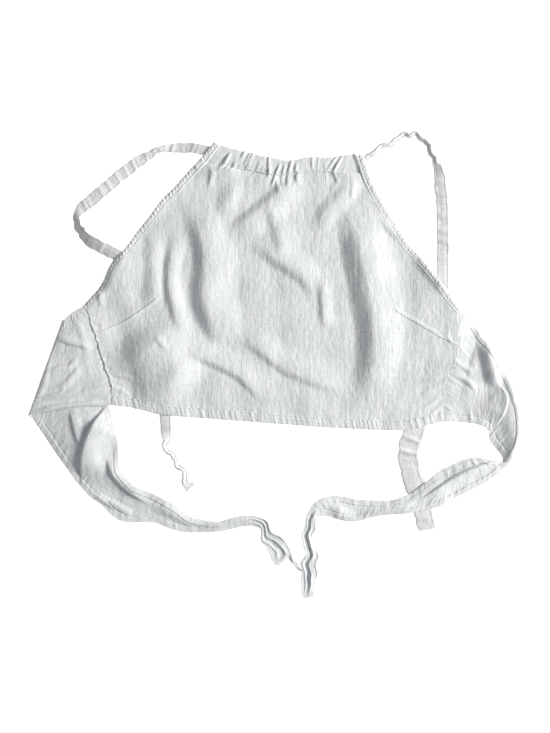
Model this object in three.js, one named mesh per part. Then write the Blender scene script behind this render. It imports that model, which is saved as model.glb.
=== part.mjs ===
// Halter neck top in linen, laid flat with its front up, its back wings folded round and its ties loose.
// Millimetres, +Z up, +Y towards the neck, +X to the right as it is seen from above, and z = 0 is the table.
import * as THREE from "three";

// Cloth and seams
const CLOTH_WALL = 1.3;
const TURNED_WALL = 2.2;
const TIE_WALL = 1.4;
const SEAM_GAP = 0.3;
const WING_SEAM_GAP = 0.5;
const WING_SEAM_SHARE = 0.985;
const BINDING_WIDTH = 9;
const HEM_DEPTH = 11.5;
const CASING_WALL = 1.25;
const CASING_HEIGHT = 4.6;

// Gathers and ripples, each a crest and a hollow
const HEM_PUCKERS = 66;
const BINDING_RIPPLES = 32;
const CASING_GATHERS = 28;
const PUCKER_HEIGHT = 0.8;
const RIPPLE_HEIGHT = 0.5;
const GATHER_HEIGHT = 1.5;
const PUCKER_AT_EDGE = 0.6;

// How finely the solids follow the cloth
const PANEL_COLUMNS = 38;
const PANEL_ROWS = 22;
const UNDERARM_ROW = 8;
const WING_STEP = 13;
const WING_ACROSS = 9;
const TIE_STEP = 9;
const TIE_ACROSS = 2;
const HEM_RISE_POWER = 1.5;

const WHITE_LINEN = { color: 0xe9e8e6, roughness: 0.95, metalness: 0 };
const WARM_LINEN = { color: 0xedeae4, roughness: 0.95, metalness: 0 };

// A short table with named columns, one row for each point, section or fold.
function table(columns, ...rows) {
  return rows.map((row) => Object.fromEntries(columns.map((name, i) => [name, row[i]])));
}

// The front's outline, seen from above
const HEM_EDGE = table(["x", "y"],
  [-196, -47], [-168, -51], [-140, -58], [-97, -62], [-30, -67], [35, -72],
  [101, -76], [154, -77], [170, -74], [188, -70], [202, -67]);
const LEFT_SEAM = table(["x", "y"],
  [-196, -47], [-197, -20], [-206, 4], [-210, 20], [-220, 48], [-225, 65]);
const RIGHT_SEAM = table(["x", "y"],
  [202, -67], [203, -36], [206, -17], [215, 2], [223, 24], [233, 45]);
const LEFT_ARMHOLE = table(["x", "y"],
  [-232, 71], [-223, 81], [-210, 96], [-197, 123], [-181, 140], [-166, 161], [-151, 180],
  [-136, 200], [-120, 216], [-104, 234], [-91, 247], [-73, 269]);
const RIGHT_ARMHOLE = table(["x", "y"],
  [240, 51], [220, 72], [210, 84], [188, 114], [173, 132], [158, 150], [145, 170],
  [133, 190], [122, 210], [113, 229], [105, 254]);

// The gathered casing: its neck edge and its stitched lower edge
const CASING = table(["topX", "topY", "lowX", "lowY", "gather"],
  [-65, 262, -83, 241, 1], [-44, 259, -53, 237, 0.9], [-20, 254, -24, 234, 0.3],
  [-5, 251, -9, 230, 0.9], [19, 247, 13, 229, 1], [40, 251, 40, 232, 0.5],
  [70, 251, 62, 233, 0.4], [86, 254, 80, 232, 1], [95, 255, 102, 231, 1]);

// Folds of the front: the crest through four points from the neck down, its height,
// and how far it falls off to the west and to the east of the crest
const FOLDS = table(["x1", "y1", "x2", "y2", "x3", "y3", "x4", "y4", "height", "west", "east"],
  [92, 199, 107, 121, 122, 25, 108, -60, 9, 27, 50],
  [-103, 206, -82, 133, -85, 82, -54, 11, 7, 19, 42],
  [-118, 157, -125, 110, -120, 73, -108, 35, 4, 11, 14],
  [-147, 152, -145, 125, -146, 100, -148, 78, 3, 14, 12],
  [36, 224, 8, 208, -10, 192, -44, 168, 4.5, 12, 24],
  [-6, 199, 0, 175, 6, 155, 16, 133, 3, 12, 22],
  [-30, 152, 4, 128, 34, 108, 54, 78, 4, 13, 28],
  [58, 105, 57, 88, 58, 68, 60, 44, 2.5, 7, 12],
  [94, 222, 80, 205, 68, 190, 55, 176, 4, 12, 16],
  [-113, 23, -76, 6, -42, -12, -12, -43, 3.5, 9, 26],
  [-43, 44, -16, 19, 20, -6, 88, -30, 3.5, 11, 26],
  [-200, 17, -174, 10, -150, -2, -130, -16, 6, 22, 24],
  [172, 130, 186, 112, 198, 96, 206, 82, 2.5, 10, 10]);

// The left wing's folds, all in its lower layer: a pleat whose right part lies over its left part,
// a small one beside it, and the line where the armhole side's hem is turned over
const LEFT_WING_FOLDS = table(["x1", "y1", "x2", "y2", "x3", "y3", "x4", "y4", "height", "west", "east"],
  [-200, -48, -217, -71, -228, -100, -233, -142, 6, 7, 26],
  [-243, -58, -238, -76, -232, -94, -228, -112, 2, 8, 8],
  [-201, -108, -192, -130, -175, -149, -148, -166, 3, 6, 14]);

// The right wing's folds: the ridge inside its outer edge, the roll where the cloth turns down,
// and the turned edge of the lower band
const RIGHT_WING_FOLDS = table(["x1", "y1", "x2", "y2", "x3", "y3", "x4", "y4", "height", "west", "east"],
  [254, 31, 264, 12, 268, -10, 269, -29, 6, 20, 10],
  [265, -20, 274, -36, 272, -52, 260, -72, 5, 26, 7],
  [187, -150, 227, -127, 258, -116, 272, -112, 3, 6, 8]);

// What lies under the cloth and lifts it: its line, half its width, the lift, and the slope's width
const LIFTS = table(["x1", "y1", "x2", "y2", "x3", "y3", "x4", "y4", "half", "lift", "slope"],
  [-205, 138, -166, 108, -146, 40, -131, -66, 17, 1.8, 22],
  [203, 124, 202, 70, 190, 5, 168, -84, 24, 1.8, 22],
  [160, -104, 166, -138, 176, -168, 184, -206, 20, 1.8, 20],
  [-108, 262, -92, 260, -78, 256, -62, 250, 13, 3.4, 22],
  [84, 244, 98, 244, 106, 246, 118, 254, 10, 3.4, 16],
  [-228, 74, -214, 30, -203, -5, -196, -50, 8, 1.9, 22]);

// The left back wing and tie: edge a is the armhole side and edge b the hem side, with the
// height of the cloth at four places from a to b. The rows run from the side seam out to the
// fold, back underneath, and on to the end of the tie.
const WING_COLUMNS = ["ax", "ay", "bx", "by", "h0", "h1", "h2", "h3", "notch"];
const LEFT_WING = table(WING_COLUMNS,
  [-232, 71, -196, -47, 2, 2, 2, 2, 0],
  [-242, 65, -224, -49, 2.4, 4.5, 3.4, 2.2, 0],
  [-250, 58, -262, -53, 2.8, 4, 4.4, 2.8, 0],
  [-253, 55, -291, -58, 2.9, 3.2, 3.2, 2.9, 0],
  [-255, 55, -296, -60, 1.5, 1.6, 1.6, 1.5, 0],
  [-253, 52, -293, -61, 0, 0, 0, 0, 0],
  [-232, 14, -288, -68, 0, 0, 0, 0, 0],
  [-213, -20, -278, -82, 0, 0, 0, 0, 0],
  [-199, -50, -265, -101, 0, 0, 0, 0, 0],
  [-193, -73, -251, -121, 0, 0, 0, 0, 0],
  [-188, -92, -241, -136, 2, 0, 0, 0, 0],
  [-187, -112, -233, -145, 3, 1, 0, 0, 0],
  [-185, -124, -222, -157, 3, 2, 0, 0, 0],
  [-176, -136, -209, -166, 3, 1, 0, 0, 0],
  [-166, -145, -196, -179, 3, 1, 0, 1, 0],
  [-149, -152, -180, -187, 2, 1, 0, 1, 0],
  [-133, -160, -146, -188, 1, 2, 0, 0, 0],
  [-118, -169, -127, -195, 0, 3, 0, 0, 0],
  [-101, -181, -107, -200, 0, 2, 0, 0, 0],
  [-69, -187, -69, -199, 0, 2, 1, 0, 0],
  [-54, -183, -52, -196, 0, 2, 1, 0, 0],
  [-30, -179, -31, -192, 0, 2, 1, 0, 0],
  [-15, -183, -20, -194, 4, 2, 1, 2, 0],
  [-4, -196, -16, -208, 6, 1, 0, 5, 0],
  [12, -211, -9, -221, 5, 0, 0, 5, 2],
  [21, -229, -3, -229, 3, 0, 0, 4, 8],
  [28, -248, 0, -236, 1, 0, 0, 2, 16]);

// The right back wing and tie, in the same columns: the outer edge stands up round the bend
const RIGHT_WING = table(WING_COLUMNS,
  [240, 51, 202, -67, 0, 0, 0, 0, 0],
  [246, 37, 216, -67, 2, 3, 2, 0, 0],
  [253, 29, 229, -68, 3, 4, 3, 0, 0],
  [262, 16, 239, -69, 4, 4, 3, 0, 0],
  [270, 0, 247, -71, 5, 4, 4, 1, 0],
  [280, -17, 253, -74, 7, 4, 4, 2, 0],
  [286, -31, 257, -79, 9, 4, 4, 3, 0],
  [292, -50, 257, -85, 11, 4, 4, 4, 0],
  [294, -66, 260, -92, 12, 4, 4, 4, 0],
  [293, -84, 267, -101, 12, 5, 4, 4, 0],
  [287, -101, 272, -109, 11, 7, 5, 4, 0],
  [281, -115, 272, -115, 8, 7, 6, 3, 0],
  [270, -126, 260, -113, 3, 5, 5, 3, 0],
  [256, -138, 244, -110, 0, 3, 4, 1, 0],
  [232, -151, 228, -112, 0, 2, 4, 0, 0],
  [206, -164, 210, -120, 0, 1, 3, 0, 0],
  [190, -171, 196, -127, 0, 0, 3, 0, 0],
  [166, -176, 180, -140, 0, 1, 2, 0, 0],
  [148, -178, 162, -153, 0, 3, 1, 0, 0],
  [133, -179, 140, -161, 0, 4, 2, 0, 0],
  [116, -182, 118, -161, 0, 3, 1, 0, 0],
  [97, -187, 98, -160, 0, 0, 0, 0, 0],
  [78, -185, 78, -156, 0, 4, 1, 0, 0],
  [64, -181, 63, -157, 0, 1, 2, 0, 0],
  [51, -181, 47, -164, 2, 3, 3, 2, 0],
  [49, -192, 37, -184, 6, 1, 0, 4, 0],
  [45, -204, 33, -203, 6, 0, 0, 5, 0],
  [49, -221, 36, -222, 6, 0, 1, 6, 0],
  [52, -239, 32, -236, 5, 0, 1, 6, 0],
  [48, -256, 31, -255, 3, 0, 0, 5, 0],
  [46, -274, 37, -280, 1, 0, 0, 2, 0]);

// The neck ties: the centre line, the width seen from above, and the height of the left and the
// right edge as one walks from the casing to the free end. A tie on its edge is narrow and high.
const TIE_COLUMNS = ["x", "y", "width", "left", "right"];
const LEFT_TIE = table(TIE_COLUMNS,
  [-47, 247, 11, 1.6, 1.6], [-64, 251, 11, 1.6, 1.6], [-83, 259, 12, 1.5, 1.5],
  [-102, 262, 12, 0.6, 0.6], [-122, 262, 11, 0, 0], [-139, 260, 7, 0, 5], [-149, 254, 9, 0, 3],
  [-161, 247, 13, 0, 0], [-185, 229, 14, 0, 0], [-210, 207, 14, 0, 0], [-232, 189, 13, 0, 0],
  [-238, 179, 9, 4, 0], [-236, 167, 10, 5, 0], [-229, 156, 12, 6, 0], [-216, 147, 14, 5, 0],
  [-190, 133, 14, 0, 0], [-172, 118, 13, 0, 0], [-158, 93, 13, 0, 0], [-149, 60, 13, 0, 0],
  [-142, 20, 13, 0, 0], [-137, -20, 13, 0, 0], [-132, -59, 13, 0, 0], [-131, -76, 13, 0, 0],
  [-130, -88, 9, 0, 4], [-132, -95, 6, 0, 8], [-130, -101, 6, 0, 8], [-124, -105, 6, 0, 8],
  [-120, -111, 6, 0, 8], [-119, -118, 6, 0, 8], [-112, -123, 6, 0, 8], [-109, -130, 6, 0, 8],
  [-109, -137, 7, 0, 5], [-105, -143, 10, 0, 2], [-101, -147, 15, 0, 0]);
const RIGHT_TIE = table(TIE_COLUMNS,
  [70, 243, 11, 1.6, 1.6], [97, 243, 11, 1.6, 1.6], [107, 246, 8, 1.5, 1.5], [116, 254, 6, 0, 6],
  [127, 263, 6, 0, 9], [138, 266, 6, 0, 9], [146, 272, 6, 0, 9], [154, 278, 6, 2, 8],
  [161, 276, 6, 5, 5], [169, 278, 6, 8, 2], [175, 273, 6, 9, 0], [182, 267, 6, 8, 0],
  [187, 257, 6, 8, 0], [191, 247, 7, 7, 0], [196, 237, 10, 3, 0], [198, 223, 14, 0, 0],
  [201, 200, 14, 0, 0], [202, 151, 14, 0, 0], [202, 98, 14, 0, 0], [200, 60, 15, 0, 0],
  [193, 20, 18, 0, 0], [184, -20, 21, 0, 0], [175, -54, 24, 0, 0], [169, -74, 25, 0, 0],
  [163, -90, 25, 0, 0], [160, -108, 24, 0, 0], [163, -126, 24, 0, 0], [168, -142, 24, 0, 0],
  [178, -174, 23, 0, 0], [182, -191, 22, 0, 0], [183, -197, 18, 0, 0]);

const smooth = (t) => {
  const inside = Math.min(Math.max(t, 0), 1);
  return inside * inside * (3 - 2 * inside);
};
const mix = (a, b, t) => a + (b - a) * t;

// The running length at each row of a table.
function knotsOf(rows, distance) {
  const knots = [0];
  for (let i = 1; i < rows.length; i++) knots.push(knots[i - 1] + distance(rows[i - 1], rows[i]));
  return knots;
}

// Every column part of the way from row i to the next, on a smooth curve through the rows.
function between(rows, knots, i, part) {
  const last = rows.length - 1;
  const span = knots[i + 1] - knots[i];
  const row = {};
  for (const name of Object.keys(rows[i])) {
    const slope = (j) => {
      const before = Math.max(j - 1, 0);
      const after = Math.min(j + 1, last);
      return (rows[after][name] - rows[before][name]) / (knots[after] - knots[before]);
    };
    const square = part * part;
    const cube = square * part;
    row[name] =
      (2 * cube - 3 * square + 1) * rows[i][name] +
      (cube - 2 * square + part) * span * slope(i) +
      (3 * square - 2 * cube) * rows[i + 1][name] +
      (cube - square) * span * slope(i + 1);
  }
  return row;
}

// A function from the share of a table's length to its columns there.
function curve(rows, distance) {
  const knots = knotsOf(rows, distance);
  const length = knots[knots.length - 1];
  return (share) => {
    const at = Math.min(Math.max(share, 0), 1) * length;
    let i = 0;
    while (i < rows.length - 2 && knots[i + 1] < at) i++;
    return between(rows, knots, i, (at - knots[i]) / (knots[i + 1] - knots[i]));
  };
}

// Rows at about the given step along a table, with every row of the table among them.
function stations(rows, distance, step) {
  const knots = knotsOf(rows, distance);
  const out = [];
  for (let i = 0; i < rows.length - 1; i++) {
    const count = Math.max(1, Math.round((knots[i + 1] - knots[i]) / step));
    for (let k = 0; k < count; k++) out.push(between(rows, knots, i, k / count));
  }
  out.push(rows[rows.length - 1]);
  return out;
}

const planDistance = (a, b) => Math.hypot(b.x - a.x, b.y - a.y);
const casingDistance = (a, b) => Math.hypot(b.topX - a.topX, b.topY - a.topY);
const wingDistance = (a, b) =>
  (Math.hypot(b.ax - a.ax, b.ay - a.ay, b.h0 - a.h0) + Math.hypot(b.bx - a.bx, b.by - a.by, b.h3 - a.h3)) / 2;

// The line of a fold or lift as short straight pieces.
const LINE_PIECES = 12;
function lineOf(row) {
  const points = [1, 2, 3, 4].map((n) => ({ x: row["x" + n], y: row["y" + n] }));
  const at = curve(points, planDistance);
  return Array.from({ length: LINE_PIECES + 1 }, (_, i) => at(i / LINE_PIECES));
}

// The nearest place on a line: its distance, its share of the line, and whether the point lies east.
function nearest(line, x, y) {
  let best = { distance: Infinity };
  for (let i = 0; i < line.length - 1; i++) {
    const dx = line[i + 1].x - line[i].x;
    const dy = line[i + 1].y - line[i].y;
    const along = ((x - line[i].x) * dx + (y - line[i].y) * dy) / (dx * dx + dy * dy);
    const part = Math.min(Math.max(along, 0), 1);
    const awayX = x - line[i].x - part * dx;
    const awayY = y - line[i].y - part * dy;
    const distance = Math.hypot(awayX, awayY);
    if (distance < best.distance)
      best = { distance, share: (i + part) / (line.length - 1), east: dx * awayY - dy * awayX > 0 };
  }
  return best;
}

// A soft ridge on each fold's line, tapered over a quarter of it at both ends.
const FOLD_TAPERS = 4;
function foldHeight(folds, x, y) {
  let height = 0;
  for (const fold of folds) {
    const place = nearest(fold.line, x, y);
    const width = place.east ? fold.east : fold.west;
    const across = Math.max(0, 1 - (place.distance / width) ** 2) ** 2;
    const taper = smooth(place.share * FOLD_TAPERS) * smooth((1 - place.share) * FOLD_TAPERS);
    height += fold.height * across * taper;
  }
  return height;
}

// How high the cloth is carried by what lies under it.
function liftHeight(x, y) {
  let lift = 0;
  for (const row of lifts) {
    const away = nearest(row.line, x, y).distance - row.half;
    lift = Math.max(lift, row.lift * (1 - smooth(away / row.slope)));
  }
  return lift;
}

const folds = FOLDS.map((row) => ({ ...row, line: lineOf(row) }));
const leftWingFolds = LEFT_WING_FOLDS.map((row) => ({ ...row, line: lineOf(row) }));
const rightWingFolds = RIGHT_WING_FOLDS.map((row) => ({ ...row, line: lineOf(row) }));
const lifts = LIFTS.map((row) => ({ ...row, line: lineOf(row) }));
const frontHeight = (x, y) => liftHeight(x, y) + foldHeight(folds, x, y);

// The grid's outer and inner points, half a wall to each side, and never below the table.
function walls(grid, wall, upright) {
  const columns = grid[0].length;
  const side = (sign) =>
    grid.map((line, i) =>
      line.map((point, j) => {
        const normal = new THREE.Vector3(0, 0, 1);
        if (!upright) {
          const alongWay = grid[Math.min(i + 1, grid.length - 1)][j].clone().sub(grid[Math.max(i - 1, 0)][j]);
          const acrossWay = line[Math.min(j + 1, columns - 1)].clone().sub(line[Math.max(j - 1, 0)]);
          normal.crossVectors(alongWay, acrossWay).normalize();
        }
        const moved = point.clone().addScaledVector(normal, (sign * wall) / 2);
        moved.z = Math.max(moved.z, 0);
        return moved;
      }),
    );
  return [side(1), side(-1)];
}

// A closed mesh from a list of points and of triangles, faced outwards.
function closedMesh(name, points, faces, look) {
  let volume = 0;
  for (const [a, b, c] of faces) volume += points[a].dot(points[b].clone().cross(points[c]));
  const facing = volume < 0 ? faces.map(([a, b, c]) => [a, c, b]) : faces;
  const geometry = new THREE.BufferGeometry();
  geometry.setAttribute(
    "position",
    new THREE.Float32BufferAttribute(points.flatMap((p) => [p.x, p.y, p.z]), 3),
  );
  geometry.setIndex(facing.flat());
  geometry.computeVertexNormals();
  const mesh = new THREE.Mesh(geometry, new THREE.MeshStandardMaterial(look));
  mesh.name = name;
  return mesh;
}

// Cloth as a wall: the two sides of a grid joined all round its rim.
function clothMesh(name, grid, wall, upright, look) {
  const [top, bottom] = walls(grid, wall, upright);
  const rows = grid.length;
  const columns = grid[0].length;
  const points = [...top.flat(), ...bottom.flat()];
  const upper = (i, j) => i * columns + j;
  const lower = (i, j) => rows * columns + upper(i, j);
  const faces = [];
  const quad = (a, b, c, d) => faces.push([a, b, c], [a, c, d]);
  for (let i = 0; i < rows - 1; i++) {
    for (let j = 0; j < columns - 1; j++) {
      quad(upper(i, j), upper(i + 1, j), upper(i + 1, j + 1), upper(i, j + 1));
      quad(lower(i, j), lower(i, j + 1), lower(i + 1, j + 1), lower(i + 1, j));
    }
    quad(upper(i, 0), lower(i, 0), lower(i + 1, 0), upper(i + 1, 0));
    quad(upper(i, columns - 1), upper(i + 1, columns - 1), lower(i + 1, columns - 1), lower(i, columns - 1));
  }
  for (let j = 0; j < columns - 1; j++) {
    quad(upper(0, j), upper(0, j + 1), lower(0, j + 1), lower(0, j));
    quad(upper(rows - 1, j), lower(rows - 1, j), lower(rows - 1, j + 1), upper(rows - 1, j + 1));
  }
  return closedMesh(name, points, faces, look);
}

// The armhole edge, or the same edge moved in across its direction there.
const EDGE_REACH = 0.01;
function armhole(rows, inward) {
  const at = curve(rows, planDistance);
  return (share, inset) => {
    const here = at(share);
    const ahead = at(share + EDGE_REACH);
    const behind = at(share - EDGE_REACH);
    const length = planDistance(behind, ahead);
    return {
      x: here.x + (inward * inset * (ahead.y - behind.y)) / length,
      y: here.y - (inward * inset * (ahead.x - behind.x)) / length,
    };
  };
}

const hemAt = curve(HEM_EDGE, planDistance);
const leftSeamAt = curve(LEFT_SEAM, planDistance);
const rightSeamAt = curve(RIGHT_SEAM, planDistance);
const casingAt = curve(CASING, casingDistance);
const leftArmholeAt = armhole(LEFT_ARMHOLE, 1);
const rightArmholeAt = armhole(RIGHT_ARMHOLE, -1);

// The share of each armhole edge that lies below the casing's stitched edge
const LEFT_ARMHOLE_SHARE = 0.885;
const RIGHT_ARMHOLE_SHARE = 0.905;

// An armhole's inner edge in the straight pieces of the panel's rows, so that panel and binding match.
function innerEdge(armholeAt, reach, inset) {
  const rows = PANEL_ROWS - UNDERARM_ROW;
  return (share) => {
    if (share >= reach) return armholeAt(share, inset);
    const place = (share / reach) * rows;
    const row = Math.floor(place);
    const from = armholeAt((reach * row) / rows, inset);
    const to = armholeAt((reach * (row + 1)) / rows, inset);
    return { x: mix(from.x, to.x, place - row), y: mix(from.y, to.y, place - row) };
  };
}

// One side of the front panel from hem to casing: the side seam and then the binding's inner edge.
function panelSide(seamAt, armholeAt, reach) {
  const underarm = UNDERARM_ROW / PANEL_ROWS;
  const inner = innerEdge(armholeAt, reach, BINDING_WIDTH + SEAM_GAP);
  return (share) => {
    if (share < underarm) return seamAt(share / underarm);
    return inner((reach * (share - underarm)) / (1 - underarm));
  };
}

// The front panel's plan: a patch between the hem, the casing and the two sides.
function panelPlan() {
  const left = panelSide(leftSeamAt, leftArmholeAt, LEFT_ARMHOLE_SHARE);
  const right = panelSide(rightSeamAt, rightArmholeAt, RIGHT_ARMHOLE_SHARE);
  const neck = (u) => {
    const row = casingAt(u);
    return { x: row.lowX, y: row.lowY - SEAM_GAP };
  };
  const blend = (u, s, axis) => {
    const rising = mix(hemAt(u)[axis], neck(u)[axis], s);
    const crossing = mix(left(s)[axis], right(s)[axis], u);
    const lower = mix(hemAt(0)[axis], hemAt(1)[axis], u);
    const higher = mix(neck(0)[axis], neck(1)[axis], u);
    return rising + crossing - mix(lower, higher, s);
  };
  return (u, s) => ({ x: blend(u, s, "x"), y: blend(u, s, "y") });
}

// The front panel stops a hem's depth above the hem's edge.
function frontPanel() {
  const plan = panelPlan();
  const grid = [];
  for (let i = 0; i <= PANEL_ROWS; i++) {
    const line = [];
    for (let j = 0; j <= PANEL_COLUMNS; j++) {
      const u = j / PANEL_COLUMNS;
      const s = i / PANEL_ROWS;
      const { x, y } = plan(u, s);
      const nearHem = Math.max(0, 1 - i / UNDERARM_ROW) ** HEM_RISE_POWER;
      const raised = y + (HEM_DEPTH + SEAM_GAP) * nearHem;
      line.push(new THREE.Vector3(x, raised, frontHeight(x, raised) + CLOTH_WALL / 2));
    }
    grid.push(line);
  }
  return clothMesh("front_panel", grid, CLOTH_WALL, true, WHITE_LINEN);
}

// The turned hem, puckered all along.
function frontHem() {
  const grid = [[], []];
  for (let j = 0; j <= 2 * HEM_PUCKERS; j++) {
    const edge = hemAt(j / (2 * HEM_PUCKERS));
    for (const row of [0, 1]) {
      const y = edge.y + row * HEM_DEPTH;
      const pucker = PUCKER_HEIGHT * (j % 2) * mix(PUCKER_AT_EDGE, 1, row);
      grid[row].push(new THREE.Vector3(edge.x, y, frontHeight(edge.x, y) + TURNED_WALL / 2 + pucker));
    }
  }
  return clothMesh("front_hem", grid, TURNED_WALL, true, WHITE_LINEN);
}

// The binding along one armhole, rippled by its stitching.
function armholeBinding(name, armholeAt, reach) {
  const inner = innerEdge(armholeAt, reach, BINDING_WIDTH);
  const grid = [[], []];
  for (let j = 0; j <= 2 * BINDING_RIPPLES; j++) {
    const share = j / (2 * BINDING_RIPPLES);
    for (const row of [0, 1]) {
      const { x, y } = row ? inner(share) : armholeAt(share, 0);
      const ripple = RIPPLE_HEIGHT * (j % 2);
      grid[row].push(new THREE.Vector3(x, y, frontHeight(x, y) + TURNED_WALL / 2 + ripple));
    }
  }
  return clothMesh(name, grid, TURNED_WALL, true, WHITE_LINEN);
}

// The section of the casing, a flat tube: across from the neck edge to the stitching, and up.
const CASING_SECTION = table(["across", "up"],
  [-1, 0], [-0.82, -1], [0, -1], [0.82, -1], [1, 0], [0.82, 1], [0, 1], [-0.82, 1]);

// The neck casing, open at both ends for the ties and gathered along its top.
function neckCasing() {
  const points = [];
  const faces = [];
  const sides = CASING_SECTION.length;
  const steps = 2 * CASING_GATHERS;
  const ring = (share, wall, crest) => {
    const row = casingAt(share);
    const halfX = (row.lowX - row.topX) / 2;
    const halfY = (row.lowY - row.topY) / 2;
    const half = Math.hypot(halfX, halfY);
    const reach = 1 - (wall + SEAM_GAP) / half;
    for (const { across, up } of CASING_SECTION) {
      const rise = GATHER_HEIGHT * row.gather * crest * Math.max(up, 0);
      const z = CASING_HEIGHT / 2 + up * (CASING_HEIGHT / 2 - wall) + rise;
      const x = (row.topX + row.lowX) / 2 + across * reach * halfX;
      const y = (row.topY + row.lowY) / 2 + across * reach * halfY;
      points.push(new THREE.Vector3(x, y, z));
    }
  };
  for (const wall of [0, CASING_WALL])
    for (let i = 0; i <= steps; i++) ring(i / steps, wall, i % 2);
  const inner = (steps + 1) * sides;
  const quad = (a, b, c, d) => faces.push([a, b, c], [a, c, d]);
  for (let k = 0; k < sides; k++) {
    const next = (k + 1) % sides;
    for (let i = 0; i < steps; i++) {
      const from = i * sides;
      const to = from + sides;
      quad(from + k, to + k, to + next, from + next);
      quad(inner + from + k, inner + from + next, inner + to + next, inner + to + k);
    }
    const end = steps * sides;
    quad(k, next, inner + next, inner + k);
    quad(end + k, inner + end + k, inner + end + next, end + next);
  }
  return closedMesh("neck_casing", points, faces, WHITE_LINEN);
}

// A back wing with its tie: cloth between two edges, its heights smooth across.
const HEIGHT_KNOTS = [0, 1, 2, 3];
const HEIGHT_SPANS = HEIGHT_KNOTS.length - 1;
function backWing(name, rows, seamAt, shapeHeight, outward) {
  const lines = stations(rows, wingDistance, WING_STEP);
  const seamReach = wingDistance(rows[0], rows[1]);
  const grid = lines.map((row) => {
    const heights = [row.h0, row.h1, row.h2, row.h3].map((h) => ({ h }));
    const gone = Math.hypot(row.ax - rows[0].ax, row.bx - rows[0].bx) + Math.abs(row.h0 - rows[0].h0);
    const nearSeam = Math.max(0, 1 - gone / seamReach);
    const chordX = row.bx - row.ax;
    const chordY = row.by - row.ay;
    const length = Math.hypot(chordX, chordY);
    return Array.from({ length: WING_ACROSS + 1 }, (_, j) => {
      const v = j / WING_ACROSS;
      const seam = seamAt(WING_SEAM_SHARE * (1 - v));
      const startX = mix(rows[0].ax, rows[0].bx, v);
      const startY = mix(rows[0].ay, rows[0].by, v);
      const back = row.notch * Math.sin(Math.PI * v);
      const x = mix(row.ax, row.bx, v) + nearSeam * (seam.x - startX + outward) + (back * chordY) / length;
      const y = mix(row.ay, row.by, v) + nearSeam * (seam.y - startY) + (back * -chordX) / length;
      const place = v * HEIGHT_SPANS;
      const span = Math.min(Math.floor(place), HEIGHT_SPANS - 1);
      const curved = between(heights, HEIGHT_KNOTS, span, place - span).h;
      const laid = Math.max(curved, 0) + shapeHeight(x, y, row);
      return new THREE.Vector3(x, y, mix(laid, frontHeight(seam.x, seam.y), nearSeam) + CLOTH_WALL / 2);
    });
  });
  return clothMesh(name, grid, CLOTH_WALL, false, WHITE_LINEN);
}

// A neck tie: a tape along its centre line, level, leaning or on its edge.
function neckTie(name, rows) {
  const lines = stations(rows, planDistance, TIE_STEP);
  const grid = lines.map((row, i) => {
    const ahead = lines[Math.min(i + 1, lines.length - 1)];
    const behind = lines[Math.max(i - 1, 0)];
    const length = planDistance(behind, ahead);
    const leftX = -(ahead.y - behind.y) / length;
    const leftY = (ahead.x - behind.x) / length;
    return Array.from({ length: TIE_ACROSS + 1 }, (_, j) => {
      const v = j / TIE_ACROSS;
      const off = row.width * (0.5 - v);
      const height = Math.max(mix(row.left, row.right, v), 0);
      return new THREE.Vector3(row.x + off * leftX, row.y + off * leftY, height + TIE_WALL / 2);
    });
  });
  return clothMesh(name, grid, TIE_WALL, false, WARM_LINEN);
}

// The left wing's folds are only in its lower layer, on the table.
const LOWER_LAYER_TOP = 1;
const leftWingShape = (x, y, row) => (row.h3 < LOWER_LAYER_TOP ? foldHeight(leftWingFolds, x, y) : 0);
const rightWingShape = (x, y) => liftHeight(x, y) + foldHeight(rightWingFolds, x, y);

const top = new THREE.Group();
top.name = "halter_neck_top";
top.add(
  frontPanel(),
  frontHem(),
  neckCasing(),
  armholeBinding("armhole_binding_left", leftArmholeAt, LEFT_ARMHOLE_SHARE),
  armholeBinding("armhole_binding_right", rightArmholeAt, RIGHT_ARMHOLE_SHARE),
  backWing("back_wing_left", LEFT_WING, leftSeamAt, leftWingShape, -WING_SEAM_GAP),
  backWing("back_wing_right", RIGHT_WING, rightSeamAt, rightWingShape, WING_SEAM_GAP),
  neckTie("neck_tie_left", LEFT_TIE),
  neckTie("neck_tie_right", RIGHT_TIE),
);

export default top;
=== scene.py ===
"""A halter neck top in slubby white linen, laid flat with its front up.

Every piece is a thin wall of cloth on the solid that it replaces: a grid of points worked out in
millimetres from short tables, then given its thickness, its cloth coordinates and its weave.
"""

import math

import bpy
import numpy as np
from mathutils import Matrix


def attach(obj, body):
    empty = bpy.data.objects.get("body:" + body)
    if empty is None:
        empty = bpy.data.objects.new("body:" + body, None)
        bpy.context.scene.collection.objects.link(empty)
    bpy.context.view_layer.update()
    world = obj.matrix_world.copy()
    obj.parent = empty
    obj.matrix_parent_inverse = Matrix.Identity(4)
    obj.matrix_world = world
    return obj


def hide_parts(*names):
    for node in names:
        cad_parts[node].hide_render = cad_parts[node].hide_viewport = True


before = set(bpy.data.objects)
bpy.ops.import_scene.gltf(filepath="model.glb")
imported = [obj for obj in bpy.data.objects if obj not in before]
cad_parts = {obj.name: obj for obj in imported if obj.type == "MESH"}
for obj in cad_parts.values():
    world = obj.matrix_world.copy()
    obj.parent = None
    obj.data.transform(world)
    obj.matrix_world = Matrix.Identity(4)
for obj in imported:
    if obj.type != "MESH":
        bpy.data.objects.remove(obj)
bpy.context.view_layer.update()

MM = 0.001

# Cloth and seams, in millimetres
CLOTH_WALL = 1.2
TURNED_WALL = 2.1
TIE_WALL = 1.3
SEAM_GAP = 0.3
LAP = 0.6
RIM = 0.9
BINDING_WIDTH = 9.0
HEM_DEPTH = 11.5
CASING_WALL = 1.2
CASING_HEIGHT = 4.4
WING_HEM_DEPTH = 21.0
TIE_HEM_DEPTH = 7.0
TIE_WIDTH = 14.0

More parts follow.
